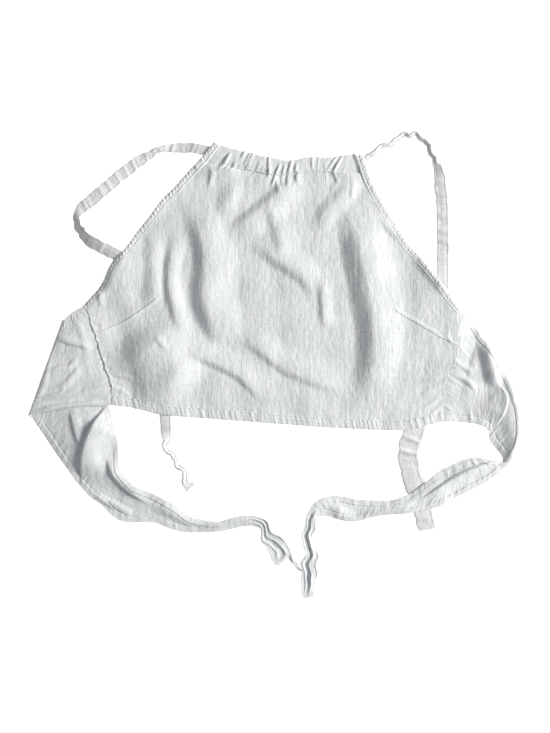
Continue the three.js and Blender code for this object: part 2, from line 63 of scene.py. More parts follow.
# Lengths along the seams and edges, for what repeats along them
FRONT_WIDTH = 440.0
FRONT_LENGTH = 300.0
HEM_LENGTH = 400.0
CASING_LENGTH = 185.0
CASING_DEPTH = 20.0
BINDING_LENGTH = 235.0
SEAM_LENGTH = 115.0
WING_WIDTH = 80.0

# The gathers below and on the casing, and how far a wing dips beside its side seam
GATHER_SPACING = 4.6
GATHER_CREST = 1.2
GATHER_HOLLOW = 0.85
GATHER_HOLLOW_WIDTH = 1.7
SEAM_DROP = -1.6

# Where the stitch lines run, as shares of the width from an edge or from the middle
HEM_STITCH_SHARE = 0.84
BINDING_STITCH_SHARE = 0.63
CASING_STITCH_SHARE = 0.8
TIE_STITCH_SHARE = 0.2
STITCH_PITCH = 3.4
STITCH_LENGTH = 2.5
THREAD_WIDTH = 0.36

# How the pieces meet: shares of an edge, as the solids have them
LEFT_ARMHOLE_SHARE = 0.885
RIGHT_ARMHOLE_SHARE = 0.905
UNDERARM = 8 / 22
EDGE_REACH = 0.01

# Detail of the grids and of the folds' lines
LINE_PIECES = 16
FOLD_TAPERS = 3.2
WING_STEPS = 430
WING_ACROSS = 96

# The linen
THREADS_PER_METRE = 1500
CRINKLE_SEED = 7
CRINKLE_SLOPE = 0.0022
WEAVE_RELIEF = 0.00022
WHITE_THREAD = (0.775, 0.785, 0.787)
WHITE_SHADE = (0.60, 0.615, 0.63)
TIE_THREAD = (0.775, 0.772, 0.76)
TIE_SHADE = (0.6, 0.6, 0.592)
SEWING_THREAD = (0.62, 0.625, 0.625)

# How the materials' nodes are laid out
NODE_STEP = 220
NODES_IN_A_ROW = 8

# The photograph's frame and the camera above it
MM_PER_PIXEL = 1.2
PHOTO_HEIGHT = 733
CLOTH_LEVEL = 3.0
LENS = 50.0
SENSOR = 36.0

# The light: a soft sky, and a window low on the right, in metres and watts
SKY_COLOUR = (0.94, 0.97, 1)
SKY_STRENGTH = 0.29
WINDOW_PLACE = (2.9, 0.45, 1.75)
WINDOW_SIZE = 1.3
WINDOW_POWER = 172
WINDOW_COLOUR = (1, 0.995, 0.98)


def table(columns, *rows):
    """A short table with named columns: a row for each point or fold, an array for each column."""
    values = np.array(rows, float)
    return {name: values[:, i] for i, name in enumerate(columns.split())}


# The front's outline, seen from above
HEM_EDGE = table(
    "x y",
    (-196, -47), (-168, -51), (-140, -58), (-97, -62), (-30, -67), (35, -72),
    (101, -76), (154, -77), (170, -74), (188, -70), (202, -67),
)
LEFT_SEAM = table("x y", (-196, -47), (-197, -20), (-206, 4), (-210, 20), (-220, 48), (-225, 65))
RIGHT_SEAM = table("x y", (202, -67), (203, -36), (206, -17), (215, 2), (223, 24), (233, 45))
LEFT_ARMHOLE = table(
    "x y",
    (-232, 71), (-223, 81), (-210, 96), (-197, 123), (-181, 140), (-166, 161), (-151, 180),
    (-136, 200), (-120, 216), (-104, 234), (-91, 247), (-73, 269),
)
RIGHT_ARMHOLE = table(
    "x y",
    (240, 51), (220, 72), (210, 84), (188, 114), (173, 132), (158, 150), (145, 170),
    (133, 190), (122, 210), (113, 229), (105, 254),
)
CASING = table(
    "x y low_x low_y gather",
    (-68, 266, -85, 241.5, 1), (-44, 260, -53, 237, 0.9), (-20, 254, -24, 234, 0.3),
    (-5, 251, -9, 230, 0.9), (19, 247, 13, 229, 1), (40, 251, 40, 232, 0.5),
    (70, 251, 62, 233, 0.4), (86, 254, 80, 232, 1), (96.4, 255, 103.5, 230.5, 1),
)

# Folds of the front: the crest through four points from the neck down, its height,
# and how far it falls off to the west and to the east of the crest
FOLD_COLUMNS = "x1 y1 x2 y2 x3 y3 x4 y4 height west east"
FRONT_FOLDS = table(
    FOLD_COLUMNS,
    (90, 214, 107, 121, 122, 25, 108, -66, 9.8, 27, 45),
    (-103, 206, -82, 133, -85, 82, -54, 11, 7, 19, 42),
    (-118, 160, -126, 110, -120, 73, -106, 30, 4.6, 11, 15),
    (-147, 170, -145, 128, -146, 96, -150, 58, 3, 15, 14),
    (40, 232, 8, 208, -14, 190, -62, 150, 4.5, 13, 26),
    (-6, 199, 0, 175, 6, 155, 16, 133, 3, 12, 22),
    (-30, 152, 4, 128, 34, 108, 54, 78, 4, 13, 28),
    (58, 108, 57, 88, 58, 68, 60, 40, 2.5, 7, 14),
    (100, 236, 80, 205, 64, 186, 44, 160, 3.6, 14, 18),
    (-52, 228, -50, 214, -56, 198, -64, 176, 2.6, 16, 14),
    (-113, 23, -76, 6, -42, -12, -12, -43, 3.5, 9, 26),
    (-43, 44, -16, 19, 20, -6, 88, -30, 3.5, 11, 26),
    (-170, 46, -150, 20, -124, -4, -96, -30, 11, 58, 62),
    (-166, 144, -187, 117, -201, 90, -222, 68, 3.8, 12, 36),
    (172, 130, 186, 112, 198, 96, 206, 82, 2.5, 10, 10),
    (174, 150, 210, 80, 216, 18, 198, -50, 5.2, 92, 24),
)
# Small creases, and the puckers beside the side seams, in the same columns
FRONT_CREASES = table(
    FOLD_COLUMNS,
    (201, 41, 206, 36, 210, 30, 214, 24, 0.9, 4, 4),
    (-144, 38, -139, 31, -133, 24, -126, 18, 1.4, 5, 8),
    (-208, 92, -210, 85, -209, 76, -208, 68, 1.4, 4, 7),
    (126, 180, 134, 168, 142, 158, 150, 150, 1.2, 5, 8),
    (-76, 240, -76, 230, -78, 220, -80, 212, 1.5, 4, 6),
    (-70, 320, -60, 245, -52, 228, -50, 214, 1.5, 5, 8),
    (0, 228, 2, 222, 4, 214, 5, 206, 1.2, 4, 5),
    (80, 231, 76, 223, 70, 214, 64, 207, 1.4, 4, 6),
    (96, 226, 94, 216, 92, 206, 91, 198, 1.4, 4, 6),
    (205, -10, 196, -14, 184, -16, 172, -17, 1.0, 3, 4),
    (204, -20, 194, -26, 182, -31, 172, -35, 1.1, 3, 4),
    (203, -32, 194, -40, 185, -46, 176, -51, 1.1, 3, 4),
    (202, -44, 196, -50, 190, -56, 184, -60, 1.0, 3, 4),
    (-196, -12, -186, -12, -176, -14, -168, -18, 0.9, 3, 4),
    (-196, -26, -188, -28, -180, -32, -174, -38, 0.9, 3, 4),
)
# The darts: a pressed fold through four points, its width and its step
DARTS = table(
    "x1 y1 x2 y2 x3 y3 x4 y4 width step",
    (-136, 87, -152, 74, -182, 54, -212, 41, 5, 0.8),
    (136, 71, 168, 52, 200, 33, 223, 22, 5, 0.55),
)
# The left wing's folds in its lower layer: a pleat whose right part lies over its left part, a small
# one beside it, the line where the hem is turned over, and two folds on the way into the tie
LEFT_WING_FOLDS = table(
    FOLD_COLUMNS,
    (-198, -44, -217, -71, -228, -100, -233, -146, 7.5, 3, 60),
    (-204, -50, -217, -71, -226, -96, -231, -134, 6.5, 62, 34),
    (-246, -50, -241, -68, -237, -84, -231, -100, 2.6, 4, 12),
    (-201, -104, -193, -130, -175, -149, -148, -166, 4.5, 5, 14),
    (-222, -152, -206, -160, -190, -168, -168, -180, 2.4, 7, 6),
)
# Creases of the left wing's upper layer
UPPER_LAYER_FOLDS = table(
    FOLD_COLUMNS,
    (-266, 36, -252, 30, -238, 26, -212, 20, 2.2, 4, 9),
    (-276, -8, -258, -2, -246, 0, -236, 12, 2.2, 8, 4),
    (-262, -30, -248, -18, -238, -6, -232, 6, 1.6, 8, 5),
    (-294, -57, -268, -50, -236, -46, -202, -42, 3.8, 4, 4),
    (-284, -42, -262, -38, -236, -34, -206, -28, 1.8, 3, 5),
    (-240, 60, -232, 44, -226, 26, -222, 8, 1.4, 8, 8),
    (-288, -47, -280, -30, -274, -10, -268, 10, 1.6, 6, 8),
)
# The right wing's folds: the ridge inside its outer edge, the roll where the cloth turns down, the
# turned edge of the lower band, and two creases that run out from the side seam
RIGHT_WING_FOLDS = table(
    FOLD_COLUMNS,
    (252, 33, 256, 14, 260, -6, 266, -30, 7, 13, 12),
    (262, -16, 276, -34, 275, -52, 262, -74, 4.6, 36, 2),
    (170, -164, 222, -130, 258, -116, 276, -112, 4.6, 16, 2.5),
    (212, 6, 220, 2, 228, -3, 238, -8, 1.6, 4, 6),
    (212, -10, 222, -14, 232, -20, 242, -30, 1.6, 4, 6),
)

# What lies under the cloth and lifts it: its line, half its width, the lift, and the slope's width
LIFTS = table(
    "x1 y1 x2 y2 x3 y3 x4 y4 half lift slope",
    (-205, 138, -166, 108, -146, 40, -131, -66, 17, 1.8, 22),
    (203, 124, 202, 70, 190, 5, 168, -84, 24, 1.8, 22),
    (160, -104, 166, -138, 176, -168, 184, -206, 20, 1.8, 20),
    (-108, 262, -92, 260, -78, 256, -62, 250, 13, 3.4, 22),
    (84, 244, 98, 244, 106, 246, 118, 254, 10, 3.4, 16),
    (-228, 74, -214, 30, -203, -5, -196, -50, 8, 1.9, 22),
)

# The back wings with their ties: edge a is the armhole side and edge b the hem side, with the
# height of the cloth at four places from a to b, from the side seam to the end of the tie
WING_COLUMNS = "ax ay bx by h0 h1 h2 h3 notch"
LEFT_WING = table(
    WING_COLUMNS,
    (-232, 71, -196, -47, 2, 2, 2, 2, 0),
    (-242, 65, -224, -49, 2.4, 4.5, 3.4, 2.2, 0),
    (-250, 58, -262, -53, 2.8, 4, 4.4, 2.8, 0),
    (-253, 55, -291, -58, 2.9, 3.2, 3.2, 2.9, 0),
    (-255, 55, -296, -60, 1.5, 1.6, 1.6, 1.5, 0),
    (-253, 52, -293, -61, 0, 0, 0, 0, 0),
    (-232, 14, -288, -68, 0, 0, 0, 0, 0),
    (-213, -20, -278, -82, 0, 0, 0, 0, 0),
    (-199, -50, -265, -101, 0, 0, 0, 0, 0),
    (-193, -73, -251, -121, 1, 0, 0, 0, 0),
    (-188, -92, -241, -136, 2, 0, 0, 0, 0),
    (-187, -112, -233, -145, 3, 1, 0, 0, 0),
    (-185, -124, -222, -157, 3, 2, 0, 0, 0),
    (-176, -136, -209, -166, 3, 1, 0, 0, 0),
    (-166, -145, -196, -179, 3, 1, 0, 1, 0),
    (-149, -152, -180, -187, 2, 1, 0, 1, 0),
    (-133, -160, -146, -188, 1, 2, 0, 0, 0),
    (-118, -169, -127, -195, 0, 3, 0, 0, 0),
    (-101, -181, -107, -200, 0, 2, 0, 0, 0),
    (-69, -187, -69, -199, 0, 2, 1, 0, 0),
    (-54, -183, -52, -196, 0, 2, 1, 0, 0),
    (-30, -179, -31, -192, 0, 2, 1, 0, 0),
    (-15, -183, -20, -194, 3, 2, 1, 2, 0),
    (-4, -196, -16, -208, 3, 3, 1, 4, 0),
    (12, -211, -9, -221, 3, 3, 1, 4, 2),
    (22, -228, -4, -229, 1, 2, 1, 3, 8),
    (32, -247, -2, -238, 2, 1, 1, 2, 17),
)
RIGHT_WING = table(
    WING_COLUMNS,
    (240, 51, 202, -67, 0, 0, 0, 0, 0),
    (246, 37, 216, -67, 4, 5, 3, 0, 0),
    (253, 29, 229, -68, 5, 5, 3, 0, 0),
    (262, 16, 239, -69, 5, 4, 3, 1, 0),
    (270, 0, 247, -71, 6, 4, 3, 2, 0),
    (280, -17, 253, -74, 8, 4.5, 3, 2, 0),
    (286, -31, 257, -79, 9, 6, 3, 2, 0),
    (292, -50, 257, -85, 9, 8, 4, 1.5, 0),
    (294, -66, 260, -92, 9, 8.5, 4.5, 1, 0),
    (293, -84, 267, -101, 10, 8.5, 5, 1, 0),
    (287, -101, 272, -109, 9, 8, 5, 3, 0),
    (281, -115, 272, -115, 8, 7, 6, 3, 0),
    (270, -126, 260, -113, 3, 5, 5, 3, 0),
    (256, -138, 244, -110, 0, 3, 4, 1, 0),
    (232, -151, 228, -112, 0, 2, 4, 0, 0),
    (206, -164, 210, -120, 0, 1, 3, 0, 0),
    (190, -171, 196, -127, 0, 0, 3, 0, 0),
    (166, -176, 180, -140, 0, 1, 2, 0, 0),
    (148, -178, 162, -153, 0, 3, 1, 0, 0),
    (133, -179, 140, -161, 0, 4, 2, 0, 0),
    (116, -182, 118, -161, 0, 3, 1, 0, 0),
    (97, -187, 98, -160, 0, 0, 0, 0, 0),
    (78, -185, 78, -156, 0, 4, 1, 0, 0),
    (64, -181, 63, -157, 0, 1, 2, 0, 0),
    (51, -181, 47, -164, 2, 3, 3, 2, 0),
    (49, -192, 37, -184, 2, 4, 1, 4, 0),
    (45, -204, 33, -203, 2, 4, 0, 5, 0),
    (49, -221, 36, -222, 2, 4, 0, 5, 0),
    (52, -239, 32, -236, 2, 5, 1, 5, 0),
    (49, -256, 31, -255, 1, 4, 1, 4, 0),
    (47, -276, 35, -280, 1, 1, 1, 1, 0),
)

# The neck ties: the centre line, the width seen from above, and the height of the left and the
# right edge on the way from the casing to the free end
TIE_COLUMNS = "x y width left right crease"
LEFT_TIE = table(
    TIE_COLUMNS,
    (-47, 247, 11, 1.6, 1.6, 0), (-64, 251, 11, 1.6, 1.6, 0), (-83, 259, 12, 1.5, 1.5, 0),
    (-102, 262, 12, 0.6, 0.6, 1), (-122, 262, 11, 0, 0, 1), (-139, 260, 7, 0, 5, 1), (-149, 254, 9, 0, 3, 1),
    (-161, 247, 13, 0, 2, 1), (-185, 229, 14, 0, 3, 1), (-210, 207, 14, 0, 3, 1), (-232, 189, 13, 0, 1, 1),
    (-238, 179, 9, 5, 0, 1), (-236, 167, 10, 8, 0, 1), (-229, 156, 12, 10, 0, 1), (-216, 147, 14, 9, 0, 1),
    (-190, 133, 14, 3, 0, 0.4), (-172, 118, 13, 0, 0, 0), (-158, 93, 13, 0, 0, 0), (-149, 60, 13, 0, 0, 0),
    (-142, 20, 13, 0, 0, 0), (-137, -20, 13, 0, 0, 0), (-132, -59, 13, 0, 0, 0), (-131, -76, 13, 0, 0, 0.8),
    (-130, -88, 9, 0, 4, 1), (-132, -95, 6, 0, 8, 1), (-130, -101, 6, 0, 8, 1), (-124, -105, 6, 0, 8, 1),
    (-120, -111, 6, 0, 8, 1), (-119, -118, 6, 0, 8, 1), (-112, -123, 6, 0, 8, 1), (-109, -130, 6, 0, 8, 1),
    (-109, -137, 7, 0, 5, 1), (-105, -143, 10, 0, 2, 1), (-101, -147, 15, 0, 0, 1),
)
RIGHT_TIE = table(
    TIE_COLUMNS,
    (70, 243, 11, 1.6, 1.6, 0), (97, 243, 11, 1.6, 1.6, 0), (107, 246, 8, 1.5, 1.5, 0.5),
    (116, 254, 6, 6, 0, 1),
    (127, 263, 6, 8, 0, 1), (138, 266, 6, 8, 0, 1), (146, 272, 6, 8, 0, 1), (154, 278, 6, 8, 1, 1),
    (161, 276, 6, 8, 2, 1), (169, 278, 6, 8, 2, 1), (175, 273, 6, 9, 0, 1), (182, 267, 6, 8, 0, 1),
    (187, 257, 6, 8, 0, 1), (191, 247, 7, 7, 0, 1), (196, 237, 10, 4, 0, 1), (198, 223, 14, 2, 0, 1),
    (201, 200, 14, 1.4, 0, 1), (202, 151, 14, 1.2, 0, 1), (202, 98, 14, 0, 0, 0), (200, 60, 15, 0, 0, 0),
    (193, 20, 18, 0, 0, 0), (184, -20, 21, 0, 0, 0), (175, -54, 24, 0, 0, 0), (169, -74, 25, 0, 0, 0),
    (163, -90, 25, 0, 0, 1), (160, -108, 24, 0, 0, 1), (163, -126, 24, 0, 0, 0.3), (168, -142, 24, 0, 0, 0),
    (178, -174, 23, 0, 0, 0.2), (182, -191, 22, 0, 0, 1), (183, -197, 18, 0, 0, 1),
)


def smooth(t):
    """3t2 - 2t3 with t held between 0 and 1."""
    t = np.clip(t, 0, 1)
    return t * t * (3 - 2 * t)


def mix(a, b, t):
    """a at t = 0 and b at t = 1, in a straight line."""
    return a + (b - a) * t


def hump(distance, width):
    """A soft bell, exp(-(distance / width)2)."""
    return np.exp(-((distance / width) ** 2))


def cubic(part, start, end, start_slope, end_slope):
    """The cubic from start to end with these slopes over the whole piece, at a part of the way."""
    square, cube = part**2, part**3
    return (
        (2 * cube - 3 * square + 1) * start
        + (cube - 2 * square + part) * start_slope
        + (3 * square - 2 * cube) * end
        + (cube - square) * end_slope
    )


def knots_of(rows, pairs):
    """The running length at each row, measured as the mean of the lengths of the named point columns."""
    steps = sum(np.sqrt(sum(np.diff(rows[name]) ** 2 for name in pair)) for pair in pairs) / len(pairs)
    return np.concatenate([[0], np.cumsum(steps)])


def follow(rows, knots, at):
    """Every column at the lengths in at: cubic pieces whose slope at a row is that between its neighbours."""
    last = len(knots) - 1
    i = np.clip(np.searchsorted(knots, at, side="right") - 1, 0, last - 1)
    span = knots[i + 1] - knots[i]
    part = (at - knots[i]) / span
    before = np.maximum(np.arange(last + 1) - 1, 0)
    after = np.minimum(np.arange(last + 1) + 1, last)
    out = {}
    for name, values in rows.items():
        slopes = (values[after] - values[before]) / (knots[after] - knots[before])
        out[name] = cubic(part, values[i], values[i + 1], span * slopes[i], span * slopes[i + 1])
    return out


def curve(rows):
    """A function from the share of an edge's length to its columns there."""
    knots = knots_of(rows, ["xy"])
    return lambda share: follow(rows, knots, np.clip(share, 0, 1) * knots[-1])


def lines_of(rows):
    """Each row's four points as a smooth line of short straight pieces."""
    lines = []
    for i in range(len(rows["x1"])):
        points = {axis: np.array([rows[f"{axis}{n}"][i] for n in (1, 2, 3, 4)]) for axis in "xy"}
        at = curve(points)(np.linspace(0, 1, LINE_PIECES + 1))
        lines.append(np.stack([at["x"], at["y"]], 1))
    return lines


def nearest(line, x, y):
    """The distance to a line, the share of it that lies nearest, and whether the point lies east of it."""
    start, step = line[:-1], np.diff(line, axis=0)
    dx, dy = x[..., None] - start[:, 0], y[..., None] - start[:, 1]
    part = np.clip((dx * step[:, 0] + dy * step[:, 1]) / (step**2).sum(1), 0, 1)
    away_x, away_y = dx - part * step[:, 0], dy - part * step[:, 1]
    distance = np.hypot(away_x, away_y)
    best = distance.argmin(-1)[..., None]

    def pick(values):
        """The values at the nearest piece of the line."""
        return np.take_along_axis(values, best, -1)[..., 0]

    east = pick(step[:, 0] * away_y - step[:, 1] * away_x) > 0
    return pick(distance), (best[..., 0] + pick(part)) / (len(line) - 1), east


def fold_height(rows, x, y):
    """The sum of soft ridges, height (1 - (distance / width)2)2, tapered over a third at each end."""
    height = np.zeros_like(x)
    for i, line in enumerate(lines_of(rows)):
        distance, share, east = nearest(line, x, y)
        width = np.where(east, rows["east"][i], rows["west"][i])
        across = np.clip(1 - (distance / width) ** 2, 0, None) ** 2
        ends = smooth(share * FOLD_TAPERS) * smooth((1 - share) * FOLD_TAPERS)
        height += rows["height"][i] * across * ends
    return height


def lift_height(x, y):
    """The highest of the lifts, each level over what it covers and falling smoothly beside it."""
    lift = np.zeros_like(x)
    for i, line in enumerate(lines_of(LIFTS)):
        away = nearest(line, x, y)[0] - LIFTS["half"][i]
        lift = np.maximum(lift, LIFTS["lift"][i] * (1 - smooth(away / LIFTS["slope"][i])))
    return lift


def places_along(length, seed, spacing, jitter):
    """Uneven places along a length, with a random strength for each."""
    rng = np.random.default_rng(seed)
    count = int(length / spacing) + 2
    places = spacing * (np.arange(count) + jitter * rng.uniform(-0.5, 0.5, count))
    return zip(places, rng.uniform(0.25, 1.0, count))


def crests(along, length, seed, spacing, jitter=0.8, share=0.3):
    """Rounded crests at uneven places: the sum of strength exp(-(distance / (share spacing))2)."""
    out = np.zeros_like(along)
    for place, strength in places_along(length, seed, spacing, jitter):
        out += strength * hump(along - place, share * spacing)
    return out


def crinkle(x, y):
    """The unevenness of washed linen: a sum of slow waves in every direction, the shorter the lower."""
    rng = np.random.default_rng(CRINKLE_SEED)
    height = np.zeros_like(x)
    for wavelength in np.geomspace(9, 70, 26):
        angle = rng.normal(0, 0.75)
        phase = rng.uniform(0, 2 * math.pi)
        bend = 0.35 * wavelength * np.sin(y / (2.2 * wavelength) + phase)
        turns = 2 * math.pi * ((x + bend) * math.cos(angle) + y * math.sin(angle)) / wavelength
        height += CRINKLE_SLOPE * wavelength * np.sin(turns + phase)
    return height


def front_height(x, y):
    """The height of the front's cloth: what it lies on, its large folds and its small creases."""
    large = lift_height(x, y) + fold_height(FRONT_FOLDS, x, y)
    return large + fold_height(FRONT_CREASES, x, y) + crinkle(x, y)


def edge_samples(count, length):
    """Even shares of a length with closer ones at each end, where a wall is rounded off."""
    close = np.array([0.0, 0.12, 0.45]) * RIM / length
    inner = np.linspace(RIM / length, 1 - RIM / length, count)
    return np.concatenate([close, inner, 1 - close[::-1]])


def rim_share(samples, length):
    """How much of the wall's thickness is left near an edge: a quarter circle over the rim."""
    away = np.clip(np.minimum(samples, 1 - samples) * length / RIM, 0, 1)
    return np.sqrt(np.clip(1 - (1 - away) ** 2, 0.05, 1))


def outward(grid):
    """The unit normal at each point of a grid: the cross product of its two running differences."""
    normal = np.cross(np.gradient(grid, axis=0), np.gradient(grid, axis=1))
    normal /= np.maximum(np.linalg.norm(normal, axis=2, keepdims=True), 1e-9)
    return normal


def patch(near, far):
    """Quads between two matching lines of points."""
    return np.stack([near[:-1], near[1:], far[1:], far[:-1]], -1).reshape(-1, 4)


def wall_quads(index, back):
    """The quads of a wall: its front, its back, and the four sides between their rims."""
    return np.concatenate([
        np.stack([index[:-1, :-1], index[1:, :-1], index[1:, 1:], index[:-1, 1:]], -1).reshape(-1, 4),
        np.stack([back[:-1, :-1], back[:-1, 1:], back[1:, 1:], back[1:, :-1]], -1).reshape(-1, 4),
        patch(index[0], back[0]),
        patch(back[-1], index[-1]),
        patch(back[:, 0], index[:, 0]),
        patch(index[:, -1], back[:, -1]),
    ])


def add_object(name, data):
    """An object with its data, linked into the scene."""
    holder = bpy.data.objects.new(name, data)
    bpy.context.scene.collection.objects.link(holder)
    return holder


def add_mesh(name, points, quads, cloth, material):
    """A mesh object in metres from points in millimetres, faced outwards, with its cloth coordinates."""
    corner = points[quads]
    volume = (np.cross(corner[:, 1], corner[:, 2]) * corner[:, 0]).sum()
    volume += (np.cross(corner[:, 2], corner[:, 3]) * corner[:, 0]).sum()
    if volume < 0:
        quads = quads[:, ::-1]
    quads = np.ascontiguousarray(quads)
    mesh = bpy.data.meshes.new(name)
    mesh.vertices.add(len(points))
    mesh.vertices.foreach_set("co", (points * MM).ravel())
    mesh.loops.add(quads.size)
    mesh.loops.foreach_set("vertex_index", quads.ravel())
    mesh.polygons.add(len(quads))
    mesh.polygons.foreach_set("loop_start", np.arange(0, quads.size, 4))
    mesh.polygons.foreach_set("use_smooth", np.ones(len(quads), bool))
    mesh.update(calc_edges=True)
    layer = mesh.uv_layers.new(name="cloth")
    layer.data.foreach_set("uv", (cloth[quads.ravel()] * MM).ravel())
    mesh.materials.append(material)
    piece = add_object(name, mesh)
    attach(piece, "root")
    return piece


def cloth_piece(name, grid, cloth, wall, material, rims, upright=False):
    """A wall of cloth: two copies of the grid, half a wall to each side, joined all round their rim."""
    rows, columns = grid.shape[:2]
    normal = np.broadcast_to([0.0, 0.0, 1.0], grid.shape) if upright else outward(grid)
    half = (wall / 2) * rims[0][:, None, None] * rims[1][None, :, None]
    sides = [grid + sign * half * normal for sign in (1, -1)]
    for side in sides:
        side[..., 2] = np.maximum(side[..., 2], 0)
    points = np.concatenate([side.reshape(-1, 3) for side in sides])
    index = np.arange(rows * columns).reshape(rows, columns)
    back = index + rows * columns
    cloth = np.concatenate([cloth.reshape(-1, 2)] * 2)
    return add_mesh(name, points, wall_quads(index, back), cloth, material)


def node_in(tree, kind, **values):
    """A node with its settings, laid out in rows in the order in which the nodes are made."""
    node = tree.nodes.new(kind)
    made = len(tree.nodes)
    node.location = (NODE_STEP * (made % NODES_IN_A_ROW), -NODE_STEP * (made // NODES_IN_A_ROW))
    for name, value in values.items():
        setattr(node, name, value)
    return node


def settle(node, values):
    """Gives the inputs of a node their values."""
    for name, value in values.items():
        node.inputs[name].default_value = value


def wire(tree, kind, first, second):
    """One sum of two values, each a socket or a number."""
    node = node_in(tree, "ShaderNodeMath", operation=kind)
    for slot, value in enumerate((first, second)):
        if isinstance(value, (int, float)):
            node.inputs[slot].default_value = value
        else:
            tree.links.new(value, node.inputs[slot])
    return node.outputs[0]


def threads(tree, place, across, along, detail):
    """Noise stretched along one thread: across and along are its grains per metre of cloth."""
    mapping = node_in(tree, "ShaderNodeMapping")
    settle(mapping, {"Scale": (across, along, 1)})
    tree.links.new(place, mapping.inputs["Vector"])
    noise = node_in(tree, "ShaderNodeTexNoise", noise_dimensions="2D")
    settle(noise, {"Scale": 1, "Detail": detail})
    tree.links.new(mapping.outputs["Vector"], noise.inputs["Vector"])
    return wire(tree, "SUBTRACT", noise.outputs["Fac"], 0.5)


def linen_weave_group():
    """Linen from cloth coordinates: crossing threads, slubs along warp and weft, and a soft mottle.

    The weave is sin(u) sin(v). A slub is noise stretched along its thread, strongest in the warp.
    The mottle is slow noise, as washed cloth has. The tone is their weighted sum about a middle.
    """
    group = bpy.data.node_groups.new("linen weave", "ShaderNodeTree")
    for name, way, kind in (
        ("Thread colour", "INPUT", "Color"),
        ("Shade colour", "INPUT", "Color"),
        ("Threads per metre", "INPUT", "Float"),
        ("Slub strength", "INPUT", "Float"),
        ("Colour", "OUTPUT", "Color"),
        ("Height", "OUTPUT", "Float"),
        ("Roughness", "OUTPUT", "Float"),
    ):
        group.interface.new_socket(name, in_out=way, socket_type="NodeSocket" + kind)
    source = node_in(group, "NodeGroupInput")
    result = node_in(group, "NodeGroupOutput")
    place = node_in(group, "ShaderNodeUVMap", uv_map="cloth").outputs["UV"]

    split = node_in(group, "ShaderNodeSeparateXYZ")
    group.links.new(place, split.inputs["Vector"])
    turns = wire(group, "MULTIPLY", source.outputs["Threads per metre"], math.pi)
    warp = wire(group, "SINE", wire(group, "MULTIPLY", split.outputs["X"], turns), 0)
    weft = wire(group, "SINE", wire(group, "MULTIPLY", split.outputs["Y"], turns), 0)
    weave = wire(group, "MULTIPLY", warp, weft)

    warp_slub = threads(group, place, 330, 24, 3)
    weft_slub = threads(group, place, 26, 300, 3)
    fine_warp = threads(group, place, 820, 60, 2)
    fine_weft = threads(group, place, 60, 820, 2)
    mottle = threads(group, place, 45, 28, 4)
    crumple = threads(group, place, 210, 130, 3)

    slubs = wire(group, "ADD", warp_slub, wire(group, "MULTIPLY", weft_slub, 0.55))
    fine = wire(group, "ADD", fine_warp, wire(group, "MULTIPLY", fine_weft, 0.8))
    thread = wire(group, "ADD", slubs, fine)
    strength = wire(group, "MULTIPLY", thread, source.outputs["Slub strength"])
    soft = wire(group, "MULTIPLY", mottle, 0.9)
    tone = wire(group, "ADD", wire(group, "ADD", strength, soft), 0.55)
    colour = node_in(group, "ShaderNodeMix", data_type="RGBA", clamp_factor=True)
    group.links.new(tone, colour.inputs["Factor"])
    group.links.new(source.outputs["Shade colour"], colour.inputs[6])
    group.links.new(source.outputs["Thread colour"], colour.inputs[7])
    group.links.new(colour.outputs[2], result.inputs["Colour"])
    washed = wire(group, "MULTIPLY", crumple, 5.5)
    raised = wire(group, "ADD", wire(group, "MULTIPLY", thread, 1.9), washed)
    height = wire(group, "ADD", wire(group, "MULTIPLY", weave, 0.25), raised)
    group.links.new(height, result.inputs["Height"])
    duller = wire(group, "MULTIPLY", tone, 0.1)
    group.links.new(wire(group, "SUBTRACT", 0.95, duller), result.inputs["Roughness"])
    return group


def new_material(name, values):
    """A material whose shader has the given values, with its node tree and the shader."""
    material = bpy.data.materials.new(name)
    material.use_nodes = True
    shader = material.node_tree.nodes["Principled BSDF"]
    settle(shader, values)
    return material, material.node_tree, shader


def add_bump(tree, shader, height, strength, distance):
    """Gives the shader a bump from a height."""
    bump = node_in(tree, "ShaderNodeBump")
    settle(bump, {"Strength": strength, "Distance": distance})
    tree.links.new(height, bump.inputs["Height"])
    tree.links.new(bump.outputs["Normal"], shader.inputs["Normal"])


def linen_material(name, group, thread, shade, slub):
    """Matt linen with its weave group, a soft bump and a little fuzz sheen."""
    values = {"Specular IOR Level": 0.2, "Sheen Weight": 0.12, "Sheen Roughness": 0.5}
    material, tree, shader = new_material(name, values)
    weave = node_in(tree, "ShaderNodeGroup", node_tree=group)
    settle(weave, {"Thread colour": (*thread, 1), "Shade colour": (*shade, 1)})
    settle(weave, {"Threads per metre": THREADS_PER_METRE, "Slub strength": slub})
    add_bump(tree, shader, weave.outputs["Height"], 0.6, WEAVE_RELIEF)
    tree.links.new(weave.outputs["Colour"], shader.inputs["Base Color"])
    tree.links.new(weave.outputs["Roughness"], shader.inputs["Roughness"])
    return material


def thread_material():
    """Sewing thread: off-white, with a fine twist in its bump."""
    values = {"Base Color": (*SEWING_THREAD, 1), "Roughness": 0.7}
    material, tree, shader = new_material("sewing thread", values)
    place = node_in(tree, "ShaderNodeTexCoord")
    twist = node_in(tree, "ShaderNodeTexNoise")
    settle(twist, {"Scale": 2500})
    tree.links.new(place.outputs["Object"], twist.inputs["Vector"])
    add_bump(tree, shader, twist.outputs["Fac"], 0.5, 0.0001)
    return material


def make_camera():
    """The camera: straight above the middle of the photograph's frame, its top towards the neck."""
    view = bpy.data.cameras.new("camera")
    view.sensor_fit = "AUTO"
    view.sensor_width = SENSOR
    view.lens = LENS
    holder = add_object("camera", view)
    height = PHOTO_HEIGHT * MM_PER_PIXEL * LENS / SENSOR
    holder.location = (0, -MM_PER_PIXEL / 2 * MM, (height + CLOTH_LEVEL) * MM)
    bpy.context.scene.camera = holder


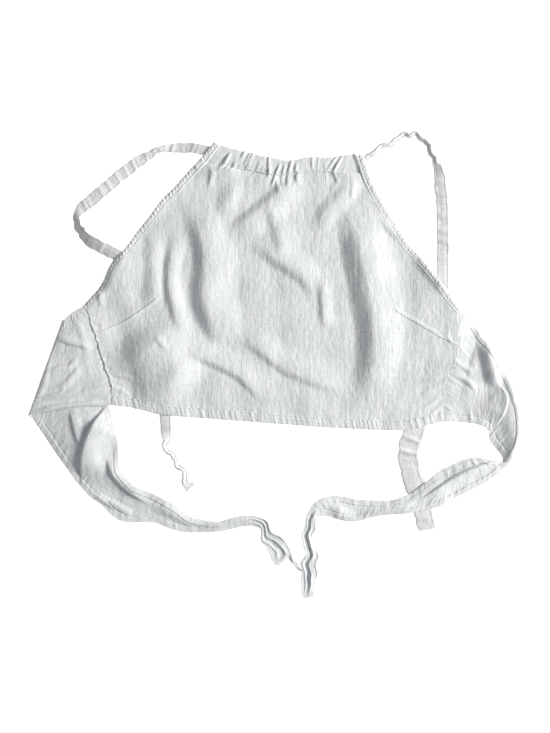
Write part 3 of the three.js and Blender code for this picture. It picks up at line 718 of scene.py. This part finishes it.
def add_light(name, place, size, power, colour):
    """A square area light aimed at the middle of the top."""
    light = bpy.data.lights.new(name, "AREA")
    light.shape = "SQUARE"
    light.size = size
    light.energy = power
    light.color = colour
    holder = add_object(name, light)
    holder.location = place
    lean = math.atan2(math.hypot(place[0], place[1]), place[2])
    holder.rotation_euler = (lean, 0, math.atan2(place[1], place[0]) + math.pi / 2)


def make_stage():
    """A white floor under the top, soft light from all round, and a window's light from the right."""
    scene = bpy.context.scene
    scene.view_settings.view_transform = "Standard"
    world = bpy.data.worlds.new("studio")
    world.use_nodes = True
    sky = {"Color": (*SKY_COLOUR, 1), "Strength": SKY_STRENGTH}
    settle(world.node_tree.nodes["Background"], sky)
    scene.world = world
    add_light("window", WINDOW_PLACE, WINDOW_SIZE, WINDOW_POWER, WINDOW_COLOUR)
    mesh = bpy.data.meshes.new("floor")
    mesh.from_pydata([(-4, -4, 0), (4, -4, 0), (4, 4, 0), (-4, 4, 0)], [], [(0, 1, 2, 3)])
    floor = add_object("floor", mesh)
    floor.location.z = -0.0004
    matt = {"Base Color": (0.9, 0.9, 0.9, 1), "Roughness": 0.9, "Specular IOR Level": 0.1}
    glow = {"Emission Color": (1, 1, 1, 1), "Emission Strength": 0.75}
    mesh.materials.append(new_material("white floor", matt | glow)[0])


make_camera()
make_stage()
weave_group = linen_weave_group()
white_linen = linen_material("white linen", weave_group, WHITE_THREAD, WHITE_SHADE, 0.55)
tie_linen = linen_material("tie linen", weave_group, TIE_THREAD, TIE_SHADE, 0.5)
thread = thread_material()


def puckered(seam_at, seed):
    """A side seam with its small sideways wander, none at its two ends."""

    def place(share):
        """x and y at a share of the seam."""
        at = seam_at(share)
        along = np.clip(share, 0, 1) * SEAM_LENGTH
        ends = smooth(share * 8) * smooth((1 - share) * 8)
        return at["x"] + 2.2 * ends * (crests(along, SEAM_LENGTH, seed, 12, 0.8, 0.3) - 0.5), at["y"]

    return place


def seam_puckers(share, away, seed, reach, ridge):
    """Short ridges that run out from a side seam and fade within their reach, and the seam's own ridge."""
    along = np.clip(share, 0, 1) * SEAM_LENGTH
    slanted = along + 0.5 * away
    near = crests(slanted, SEAM_LENGTH, seed, 7, 0.9, 0.3)
    ends = smooth(share * 8) * smooth((1 - share) * 8)
    return ends * (near * np.exp(-away / reach) + ridge * np.exp(-away / 2))


def armhole(rows, inward):
    """An armhole edge, and the same edge moved in across its own direction."""
    at = curve(rows)

    def place(share, inset):
        """The edge at a share of its length, moved in by inset."""
        here, ahead, behind = at(share), at(share + EDGE_REACH), at(share - EDGE_REACH)
        dx, dy = ahead["x"] - behind["x"], ahead["y"] - behind["y"]
        length = np.hypot(dx, dy)
        return here["x"] + inward * inset * dy / length, here["y"] - inward * inset * dx / length

    return place


hem_at = curve(HEM_EDGE)
casing_at = curve(CASING)
left_seam_at = puckered(curve(LEFT_SEAM), 51)
right_seam_at = puckered(curve(RIGHT_SEAM), 52)
left_armhole_at = armhole(LEFT_ARMHOLE, 1)
right_armhole_at = armhole(RIGHT_ARMHOLE, -1)


def gathers(along, down):
    """The gathers at a place along the casing and so far down from its neck edge: each a sharp hollow,
    exp(-distance / width), with a puffed crest beside it, leaning its own way between its own two ends."""
    rng = np.random.default_rng(21)
    height = np.zeros_like(along + down)
    for place in np.arange(0, CASING_LENGTH, GATHER_SPACING):
        centre = place + rng.uniform(-2.6, 2.6) + rng.uniform(-0.28, 0.28) * (down - CASING_DEPTH / 2)
        strength = rng.uniform(0.2, 1.0)
        ends = rng.choice([-9.0, 5.0, 10.0]), rng.choice([12.0, 19.0, 27.0, 36.0])
        within = smooth((down - ends[0]) / 7) * smooth((ends[1] - down) / 9)
        away = along - centre
        hollow = GATHER_HOLLOW * np.exp(-np.abs(away) / GATHER_HOLLOW_WIDTH)
        height += strength * within * (GATHER_CREST * hump(away - 3, 2.3) - hollow)
    small = crests(along + 0.4 * down, CASING_LENGTH, 22, 4.2, 0.9, 0.28) - 0.35
    return height + 0.55 * small * np.exp(-np.abs(down - CASING_DEPTH + 1) / 3.5)


def panel_side(seam_at, edge_at, reach):
    """One side of the front from hem to casing: the side seam, then the binding's inner edge."""

    def side(share):
        """x and y at each share of the way up."""
        seam_x, seam_y = seam_at(mix((HEM_DEPTH - LAP) / SEAM_LENGTH, 1, np.clip(share / UNDERARM, 0, 1)))
        above = np.clip((share - UNDERARM) / (1 - UNDERARM), 0, 1)
        x, y = edge_at(reach * above, BINDING_WIDTH - LAP)
        low = share < UNDERARM
        return np.where(low, seam_x, x), np.where(low, seam_y, y)

    return side


def front_plan(u, s):
    """A patch between four edges: hem and neck mixed up the front, plus the sides mixed across it,
    less the four corners mixed both ways."""
    left = panel_side(left_seam_at, left_armhole_at, LEFT_ARMHOLE_SHARE)(s[:, 0])
    right = panel_side(right_seam_at, right_armhole_at, RIGHT_ARMHOLE_SHARE)(s[:, 0])
    hem = hem_at(u[0])
    neck = casing_at(u[0])
    lower = (hem["x"], hem["y"] + HEM_DEPTH - LAP)
    upper = (neck["low_x"], neck["low_y"] + LAP)
    out = []
    for axis in (0, 1):
        rising = mix(lower[axis][None, :], upper[axis][None, :], s)
        crossing = mix(left[axis][:, None], right[axis][:, None], u)
        low_corner = mix(left[axis][0], right[axis][0], u)
        high_corner = mix(left[axis][-1], right[axis][-1], u)
        out.append(rising + crossing - mix(low_corner, high_corner, s))
    return out


def make_front():
    """The front: its plan patch, its folds, the gathers below the casing, and the puckers along its
    hem, side seams and armholes, each fading with the distance from its own edge."""
    across = edge_samples(236, FRONT_WIDTH)
    up = edge_samples(164, FRONT_LENGTH)
    u, s = np.meshgrid(across, up)
    x, y = front_plan(u, s)
    z = front_height(x, y)
    below_neck = (1 - s) * FRONT_LENGTH
    z += 1.3 * casing_at(u)["gather"] * gathers(u * CASING_LENGTH, CASING_DEPTH + below_neck)
    z += 0.5 * crests(u * HEM_LENGTH, HEM_LENGTH, 11, 5.4) * np.exp(-s * FRONT_LENGTH / 8)
    low = smooth((UNDERARM - s) * 40)
    left_away, right_away = u * FRONT_WIDTH, (1 - u) * FRONT_WIDTH
    z += low * seam_puckers(s / UNDERARM, left_away, 53, 9, 0.8)
    z += low * seam_puckers(s / UNDERARM, right_away, 54, 9, 0.6)
    for away in (left_away, right_away):
        inside = (1 - low) * away * 0.62
        z += (1 - low) * 0.8 * np.exp(-inside / 4) * smooth(below_neck / 30)
    grid = np.stack([x, y, z + CLOTH_WALL / 2], -1)
    rims = rim_share(up, FRONT_LENGTH), rim_share(across, FRONT_WIDTH)
    return cloth_piece("front_cloth", grid, np.stack([x, y], -1), CLOTH_WALL, white_linen, rims, upright=True)


def make_hem():
    """The turned hem: twice the cloth, puckered by its stitching, with a groove along the stitch line."""
    along = edge_samples(720, HEM_LENGTH)
    up = edge_samples(12, HEM_DEPTH)
    u, s = np.meshgrid(along, up)
    edge = hem_at(u)
    pucker = crests(u * HEM_LENGTH + 3 * s, HEM_LENGTH, 11, 5.4)
    x, y = edge["x"], edge["y"] + s * HEM_DEPTH + 0.7 * (0.5 - pucker) * (1 - s)
    groove = hump((s - HEM_STITCH_SHARE) * HEM_DEPTH, 1.0)
    z = front_height(x, y) + TURNED_WALL / 2 + 0.8 * pucker * (0.45 + 0.55 * s) - 0.7 * groove
    grid = np.stack([x, y, z], -1)
    rims = rim_share(up, HEM_DEPTH), rim_share(along, HEM_LENGTH)
    stitch_lines.append(surface_line(grid, TURNED_WALL / 2, HEM_STITCH_SHARE, up))
    return cloth_piece("hem_cloth", grid, np.stack([x, y], -1), TURNED_WALL, white_linen, rims, upright=True)


def make_binding(name, edge_at, seed, depth, drop):
    """An armhole's binding: a rippled outer band and a smooth inner one, with the stitched groove between.
    Its outer edge drops, the more the nearer it is to the underarm."""
    along = edge_samples(560, BINDING_LENGTH)
    up = edge_samples(14, BINDING_WIDTH)
    u, s = np.meshgrid(along, up)
    ripple = crests(u * BINDING_LENGTH + 6 * s, BINDING_LENGTH, seed, 4.6, 0.5, 0.26)
    x, y = edge_at(u, s * BINDING_WIDTH + 0.5 * depth * (ripple - 0.5) * (1 - s) ** 4)
    outer = np.clip(1 - ((s - 0.3) / 0.33) ** 4, 0, 1)
    inner = np.clip(1 - ((s - 0.84) / 0.16) ** 2, 0, 1)
    groove = hump((s - BINDING_STITCH_SHARE) * BINDING_WIDTH, 0.7)
    z = front_height(x, y) + TURNED_WALL / 2 + (0.2 + depth * ripple) * outer + 0.3 * inner - 0.3 * groove
    low = 1 - smooth(2.6 * u)
    rolled = drop * (1 + 2.4 * low) * np.exp(-s * BINDING_WIDTH / (0.9 + 3 * low))
    z -= 0.4 * smooth((s - 0.75) / 0.25) + rolled
    grid = np.stack([x, y, z], -1)
    cloth = np.stack([u * BINDING_LENGTH, s * BINDING_WIDTH], -1)
    rims = rim_share(up, BINDING_WIDTH), rim_share(along, BINDING_LENGTH)
    stitch_lines.append(surface_line(grid, TURNED_WALL / 2, BINDING_STITCH_SHARE, up))
    return cloth_piece(name, grid, cloth, TURNED_WALL, white_linen, rims, upright=True)


def make_casing():
    """The neck casing: a flat tube, thinner towards its stitched edge, with uneven pleats across it."""
    steps, around = 640, 36
    share = np.linspace(0, 1, steps + 1)[:, None]
    angle = np.linspace(0, 2 * np.pi, around, endpoint=False)[None, :]
    across = np.sign(np.cos(angle)) * np.abs(np.cos(angle)) ** 0.6
    up = np.sign(np.sin(angle)) * np.abs(np.sin(angle)) ** 0.6
    row = casing_at(np.repeat(share, around, 1))
    half_x, half_y = (row["low_x"] - row["x"]) / 2, (row["low_y"] - row["y"]) / 2
    half = np.hypot(half_x, half_y)
    pleat = (0.25 + row["gather"]) * gathers(share * CASING_LENGTH, (across + 1) / 2 * CASING_DEPTH)
    rise = 1.35 * pleat * np.clip(up, 0, 1)
    body = CASING_HEIGHT / 2 * (1 - 0.4 * smooth((across - 0.2) / 0.6))
    stitch = hump((across - CASING_STITCH_SHARE) * half, 0.8) * np.clip(up, 0, 1)
    rings = []
    for wall in (0, CASING_WALL):
        reach = 1 - (wall + SEAM_GAP) / half
        edge = 0.9 * pleat * np.clip(-across, 0, 1) ** 6 / half
        x = (row["x"] + row["low_x"]) / 2 + across * (reach + edge) * half_x
        y = (row["y"] + row["low_y"]) / 2 + across * (reach + edge) * half_y
        z = CASING_HEIGHT / 2 + 0.3 + up * (body - wall) + rise - 0.6 * stitch
        rings.append(np.stack([x, y, z], -1))
    stitched = int(np.where(up[0] < 0, np.inf, np.abs(across[0] - CASING_STITCH_SHARE)).argmin())
    stitch_lines.append(rings[0][:, stitched])
    index = np.arange((steps + 1) * around).reshape(steps + 1, around)
    inner = index + (steps + 1) * around
    following, inner_following = np.roll(index, -1, 1), np.roll(inner, -1, 1)
    quads = np.concatenate([
        np.stack([index[:-1], following[:-1], following[1:], index[1:]], -1).reshape(-1, 4),
        np.stack([inner[:-1], inner[1:], inner_following[1:], inner_following[:-1]], -1).reshape(-1, 4),
        np.stack([index[0], inner[0], inner_following[0], following[0]], -1),
        np.stack([index[-1], following[-1], inner_following[-1], inner[-1]], -1),
    ])
    cloth = np.stack([share * CASING_LENGTH + 0 * across, across * half], -1).reshape(-1, 2)
    points = np.concatenate([ring.reshape(-1, 3) for ring in rings])
    return add_mesh("casing_cloth", points, quads, np.concatenate([cloth] * 2), white_linen)


def four_heights(at, v):
    """The height across a wing: a cubic curve through the four of each row, never below the table."""
    quarters = np.stack([at["h0"], at["h1"], at["h2"], at["h3"]], 1)
    slopes = np.gradient(quarters, axis=1)
    i = np.minimum((v * 3).astype(int), 2)
    part = v * 3 - i
    return np.maximum(cubic(part, quarters[:, i], quarters[:, i + 1], slopes[:, i], slopes[:, i + 1]), 0)


def make_wing(name, rows, seam_at, lap, seed, folded, hem_from, loose_from, shape):
    """One back wing with its tie, between its two edges. Near the side seam it follows the seam's own
    line and the front's height. Both long edges are hemmed, puckered and stitched. The tie's loose
    end wanders, is creased lengthwise, and has a hemmed and notched tip."""
    knots = knots_of(rows, [("ax", "ay", "h0"), ("bx", "by", "h3")])
    at = follow(rows, knots, edge_samples(WING_STEPS, knots[-1]) * knots[-1])
    v = edge_samples(WING_ACROSS, WING_WIDTH)
    first = {column: values[0] for column, values in rows.items()}
    second = {column: values[1] for column, values in rows.items()}
    ax, ay, bx, by, h0, notch = (at[column][:, None] for column in ("ax", "ay", "bx", "by", "h0", "notch"))
    reach = (
        np.hypot(second["ax"] - first["ax"], second["ay"] - first["ay"])
        + np.hypot(second["bx"] - first["bx"], second["by"] - first["by"])
    ) / 2
    gone = np.hypot(ax - first["ax"], bx - first["bx"]) + np.abs(h0 - first["h0"])
    near = np.clip(1 - gone / reach, 0, 1)
    share = (1 - v) * (1 + BINDING_WIDTH / SEAM_LENGTH)
    seam_x, seam_y = seam_at(np.minimum(share, 1))
    past = np.clip((share - 1) * SEAM_LENGTH / BINDING_WIDTH, 0, 1)
    seam_x, seam_y = mix(seam_x, first["ax"], past), mix(seam_y, first["ay"], past)
    length = np.hypot(bx - ax, by - ay)
    back = notch * hump(v - 0.52, 0.2)
    steps = np.hypot(np.diff(at["ax"] + at["bx"]), np.diff(at["ay"] + at["by"])) / 2
    run = np.concatenate([[0], np.cumsum(steps)])[:, None] + 0 * v
    loose = smooth((run - knots[loose_from]) / 25)
    wobble = loose * (1.1 * np.sin(run / 4.6) + 0.7 * np.sin(run / 2.9 + 1))
    unit_x, unit_y = (bx - ax) / length, (by - ay) / length
    x = mix(ax, bx, v) + near * (seam_x - mix(first["ax"], first["bx"], v) + lap)
    y = mix(ay, by, v) + near * (seam_y - mix(first["ay"], first["by"], v))
    x += wobble * unit_x + back * unit_y
    y += wobble * unit_y - back * unit_x
    upper = folded * smooth(at["h3"] - 1)[:, None]
    laid = four_heights(at, v) + shape(x, y, upper)
    laid = laid * (1 - 0.45 * loose) - 0.35 * np.clip(h0 - 5, 0, None) * hump(v * length, 2.4)
    z = mix(laid + crinkle(x, y), front_height(seam_x, seam_y), near)
    z += seam_puckers(share, run, seed + 2, 5, SEAM_DROP * mix(0.7, 1, folded))
    ending = smooth((run.max() - run) / 16)
    z += loose * 1.6 * hump(run.max() - run - 3, 2.4)
    z += loose * ending * 1.3 * hump(np.sin(math.pi * (2.6 * v + 0.2 * np.sin(run / 8))), 0.5)
    narrow = np.clip(length / 30, 0.35, 1) * (1 - 0.7 * loose)
    hems = []
    turned = smooth((run - knots[hem_from]) / 25 + 1)
    for away, side, depth, shown in (
        (v * length, 0, TIE_HEM_DEPTH, turned),
        ((1 - v) * length, 1, mix(TIE_HEM_DEPTH, WING_HEM_DEPTH, upper), 1),
    ):
        pucker = crests(run + 0.5 * away, run.max(), seed + side, 7, 0.9, 0.3)
        z += shown * narrow * 0.5 * (1 - smooth((away - depth) / 1.4 + 0.5))
        z += narrow * 0.8 * (pucker - 0.3) * np.exp(-np.abs(away - depth) / 5)
        z -= shown * narrow * (0.4 + 0.8 * upper) * hump(away - depth - 0.9, 0.9)
        hems.append(np.abs(away - depth).argmin(1))
    z = np.maximum(z, 0) + CLOTH_WALL / 2
    grid = np.stack([x, y, z], -1)
    normal = outward(grid)
    normal *= np.where(normal[..., 2:] < 0, -1, 1)
    rows_at = np.arange(len(grid))
    for column in hems:
        stitch_lines.append((grid + CLOTH_WALL / 2 * normal)[rows_at, column])
    cloth = np.stack([run, v * length], -1)
    rims = rim_share(run[:, 0] / run.max(), run.max()), rim_share(v, WING_WIDTH)
    return cloth_piece(name, grid, cloth, CLOTH_WALL, white_linen, rims)


def left_wing_shape(x, y, upper):
    """The left wing's folds: those of its lower layer, and the creases of its upper one."""
    return (1 - upper) * fold_height(LEFT_WING_FOLDS, x, y) + upper * fold_height(UPPER_LAYER_FOLDS, x, y)


def right_wing_shape(x, y, upper):
    """The right wing's folds, and its lift over the tie that it crosses."""
    return lift_height(x, y) + fold_height(RIGHT_WING_FOLDS, x, y)


def make_tie(name, rows, seed, spacing, depth):
    """A neck tie: a tape along its centre line, level, leaning or on its edge, arched and creased
    across, and curled lengthwise where it is narrow and leans."""
    knots = knots_of(rows, ["xy"])
    length = knots[-1]
    share = edge_samples(int(length / 1.1), length)
    at = follow(rows, knots, share * length)
    dx, dy = np.gradient(at["x"]), np.gradient(at["y"])
    size = np.hypot(dx, dy)
    v = edge_samples(14, TIE_WIDTH)
    run = (share * length)[:, None] + 0 * v
    crease = crests(run + 3 * (v - 0.5), length, seed, spacing, 0.9, 0.2) - 0.4
    off = at["width"][:, None] * (0.5 - v) * (1 - 0.10 * crease)
    flat = hump(np.abs(at["left"] - at["right"]), 4)[:, None]
    sway = (0.9 + 1.5 * (1 - flat)) * (crests(run, length, seed + 1, 12, 0.7, 0.3) - 0.3)
    x = at["x"][:, None] + (off + sway) * (-dy / size)[:, None]
    y = at["y"][:, None] + (off + sway) * (dx / size)[:, None]
    lean = at["right"][:, None] - at["left"][:, None]
    height = np.maximum(at["left"][:, None] + lean * v, 0)
    climb = np.where(lean > 0, v, 1 - v)
    curled = (1 - flat) * smooth((10 - at["width"][:, None]) / 3)
    height += curled * (2.4 * hump(climb, 0.2) - 0.7 * np.abs(lean) * smooth((climb - 0.7) / 0.3))
    arch = 0.6 * (1 - (2 * v - 1) ** 2)
    edges = 0.2 * flat * (hump(v * TIE_WIDTH - 1.3, 0.9) + hump((1 - v) * TIE_WIDTH - 1.3, 0.9))
    groove = -0.15 * hump(v * TIE_WIDTH - 3, 0.7)
    z = height + (0.4 + 0.6 * flat) * (depth * at["crease"][:, None] * crease + arch) + edges + groove
    grid = np.stack([x, y, np.maximum(z, 0) + TIE_WALL / 2], -1)
    stitch_lines.append(grid[:, int(len(v) * TIE_STITCH_SHARE)] + np.array([0, 0, TIE_WALL / 2]))
    cloth = np.stack([run, off], -1)
    rims = rim_share(share, length), rim_share(v, TIE_WIDTH)
    return cloth_piece(name, grid, cloth, TIE_WALL, tie_linen, rims)


def make_darts():
    """The darts, each a thin wedge on the front along its line: steep on one side, and thinning out
    smoothly over its width on the other."""
    points, quads, used = [], [], 0
    v = np.array([0, 0.06, 0.15, 0.3, 0.5, 0.75, 1.0])
    profile = np.array([0, 0.8, 1, 0.8, 0.45, 0.15, 0])
    for i, line in enumerate(lines_of(DARTS)):
        share = np.linspace(0, 1, 140)
        coarse = np.linspace(0, 1, len(line))
        x, y = (np.interp(share, coarse, line[:, axis]) for axis in (0, 1))
        dx, dy = np.gradient(x), np.gradient(y)
        size = np.hypot(dx, dy)
        off = DARTS["width"][i] * v[None, :]
        wide_x, wide_y = x[:, None] - off * (dy / size)[:, None], y[:, None] + off * (dx / size)[:, None]
        ends = smooth(share * 6) * smooth((1 - share) * 12)
        level = front_height(wide_x, wide_y) + CLOTH_WALL
        raised = DARTS["step"][i] * profile[None, :] * ends[:, None]
        for z in (level + raised, level - 0.5):
            points.append(np.stack([wide_x, wide_y, z], -1).reshape(-1, 3))
        index = used + np.arange(x.size * v.size).reshape(x.size, v.size)
        back = index + x.size * v.size
        used += 2 * x.size * v.size
        quads.append(wall_quads(back, index))
        stitch_lines.append(np.stack([x, y, level[:, 0] + 0.1], 1)[10:-10])
    points = np.concatenate(points)
    return add_mesh("darts", points, np.concatenate(quads), points[:, :2], white_linen)


def surface_line(grid, half_wall, share, samples):
    """The line on top of a cloth grid at one share of its width."""
    row = int(np.abs(samples - share).argmin())
    return grid[row] + np.array([0, 0, half_wall])


def make_stitches(lines):
    """Every stitch as a short thread: a square section of the thread's width carried along an arch of
    four stations, its ends sunk into the cloth."""
    centres, directions = [], []
    for line in lines:
        steps = np.linalg.norm(np.diff(line, axis=0), axis=1)
        run = np.concatenate([[0], np.cumsum(steps)])
        places = np.arange(STITCH_PITCH, run[-1] - STITCH_PITCH, STITCH_PITCH)
        ends = []
        for offset in (-STITCH_LENGTH / 2, STITCH_LENGTH / 2):
            ends.append(np.stack([np.interp(places + offset, run, line[:, axis]) for axis in range(3)], 1))
        centres.append((ends[0] + ends[1]) / 2)
        directions.append((ends[1] - ends[0]) / np.linalg.norm(ends[1] - ends[0], axis=1, keepdims=True))
    centre, along = np.concatenate(centres), np.concatenate(directions)
    side = np.cross(along, [0, 0, 1])
    side /= np.linalg.norm(side, axis=1, keepdims=True)
    stations = np.array([-0.5, -0.25, 0.25, 0.5])
    sink = np.array([-0.25, 0.08, 0.08, -0.25])
    corners = np.array([(-1, -1), (1, -1), (1, 1), (-1, 1)]) * THREAD_WIDTH / 2
    points = (
        centre[:, None, None, :]
        + along[:, None, None, :] * (stations * STITCH_LENGTH)[None, :, None, None]
        + side[:, None, None, :] * corners[None, None, :, :1]
        + np.array([0, 0, 1.0]) * (corners[None, None, :, 1:] + sink[None, :, None, None])
    )
    corner = np.arange(4)
    following = np.roll(corner, -1)
    one = []
    for k in (0, 4, 8):
        one.append(np.stack([k + corner, k + following, k + 4 + following, k + 4 + corner], 1))
    one += [corner[None, ::-1], 12 + corner[None]]
    quads = (np.concatenate(one)[None] + 16 * np.arange(len(centre))[:, None, None]).reshape(-1, 4)
    points = points.reshape(-1, 3)
    return add_mesh("stitches", points, quads, points[:, :2], thread)


stitch_lines = []
front = make_front()
hem = make_hem()
casing = make_casing()
left_binding = make_binding("left_binding_cloth", left_armhole_at, 31, 0.9, 1.1)
right_binding = make_binding("right_binding_cloth", right_armhole_at, 32, 0.5, 0.1)
left_wing = make_wing("left_wing_cloth", LEFT_WING, left_seam_at, LAP, 61, 1, 11, 20, left_wing_shape)
right_wing = make_wing("right_wing_cloth", RIGHT_WING, right_seam_at, -LAP, 63, 0, 0, 23, right_wing_shape)
left_tie = make_tie("left_tie_cloth", LEFT_TIE, 41, 11, 1.4)
right_tie = make_tie("right_tie_cloth", RIGHT_TIE, 43, 17, 2.4)
darts = make_darts()
stitches = make_stitches(stitch_lines)

for piece, node, slot in (
    (front, "front_panel", "white_linen"),
    (hem, "front_hem", "white_linen"),
    (casing, "neck_casing", "white_linen"),
    (left_binding, "armhole_binding_left", "white_linen"),
    (right_binding, "armhole_binding_right", "white_linen"),
    (left_wing, "back_wing_left", "white_linen"),
    (right_wing, "back_wing_right", "white_linen"),
    (left_tie, "neck_tie_left", "tie_linen"),
    (right_tie, "neck_tie_right", "tie_linen"),
):
    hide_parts(node)
